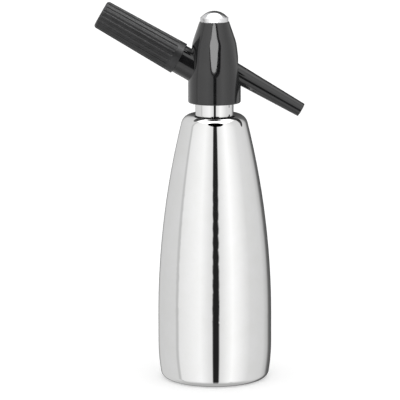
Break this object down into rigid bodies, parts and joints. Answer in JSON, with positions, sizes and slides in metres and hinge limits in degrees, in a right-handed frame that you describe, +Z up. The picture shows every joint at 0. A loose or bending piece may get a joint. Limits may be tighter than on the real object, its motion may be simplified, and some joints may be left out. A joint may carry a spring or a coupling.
{
  "type": "soda siphon",
  "caption": "Metal soda siphon bottle with a screw-on black head, domed push button, angled spout and a ribbed gas charger holder.",
  "frame": {"origin": "the point on the table under the middle of the whole outline, which is 12.8 mm from the bottle's axis towards the charger holder", "axes": "+Z up, along the bottle's axis, +X towards the spout, so the charger holder points to -X and up, and +Y is away from the picture's camera"},
  "size_m": [0.183, 0.1, 0.3332],
  "materials": {
    "polished_steel": "mirror polished",
    "chrome": "bright chrome plate",
    "gloss_black": "gloss",
    "satin_black": "satin",
    "clear_tube": "smooth",
    "white_plastic": "satin",
    "black_rubber": "matt",
    "brass": "turned",
    "nickel_brass": "nickel plated",
    "spring_steel": "bright",
    "zinc_steel": "zinc plated",
    "aluminium": "turned"
  },
  "bodies": {
    "bottle": {"bottle_shell": "polished_steel", "neck_collar": "polished_steel"},
    "riser": {"dip_tube": "clear_tube", "tube_ferrule": "white_plastic", "head_gasket": "black_rubber"},
    "head": {"head_shell": "gloss_black", "thread_insert": "brass", "valve_body": "nickel_brass", "valve_lock_nut": "brass", "riser_seal": "black_rubber", "stem_o_rings": "black_rubber", "gland_nut": "brass", "return_spring": "spring_steel", "button_collar": "chrome", "spout_tube": "gloss_black", "spout_nipple": "brass", "spout_seal": "black_rubber", "charger_neck": "gloss_black", "pierce_fitting": "nickel_brass", "piercing_pin": "spring_steel", "charger_seal": "black_rubber", "check_spring": "spring_steel"},
    "check_valve": {"check_ball": "spring_steel"},
    "button": {"push_button": "chrome", "valve_stem": "spring_steel", "valve_seal_disc": "black_rubber", "stem_nut": "brass"},
    "charger": {"gas_charger": "zinc_steel"},
    "holder": {"holder_grip": "satin_black", "holder_sleeve": "aluminium", "holder_cushion": "black_rubber"}
  },
  "joints": [
    {"name": "riser_lift", "type": "slide", "parent": "bottle", "child": "riser", "axis": [0, 0, 1], "range_m": [0, 0.0091]},
    {"name": "head_turn", "type": "hinge", "parent": "riser", "child": "head", "pos_m": [0.0128, 0, 0.245], "axis": [0, 0, 1], "range_deg": [0, 1080]},
    {"name": "button_press", "type": "slide", "parent": "head", "child": "button", "axis": [0, 0, -1], "range_m": [0, 0.003], "stiffness_N_per_m": 1500, "springref_m": -0.003, "deforming": ["return_spring"]},
    {"name": "check_valve_open", "type": "slide", "parent": "head", "child": "check_valve", "axis": [0.866, 0, -0.5], "range_m": [0, 0.001], "stiffness_N_per_m": 60, "springref_m": -0.002, "deforming": ["check_spring"]},
    {"name": "charger_slide", "type": "slide", "parent": "head", "child": "charger", "axis": [-0.866, 0, 0.5], "range_m": [0, 0.0081]},
    {"name": "holder_turn", "type": "hinge", "parent": "charger", "child": "holder", "pos_m": [-0.01794, 0, 0.28375], "axis": [-0.866, 0, 0.5], "range_deg": [0, 1440]}
  ],
  "couplings": [
    {"joint": "riser_lift", "follows": "head_turn", "m_per_rad": 0.00047746},
    {"joint": "charger_slide", "follows": "holder_turn", "m_per_rad": 0.00031831}
  ]
}
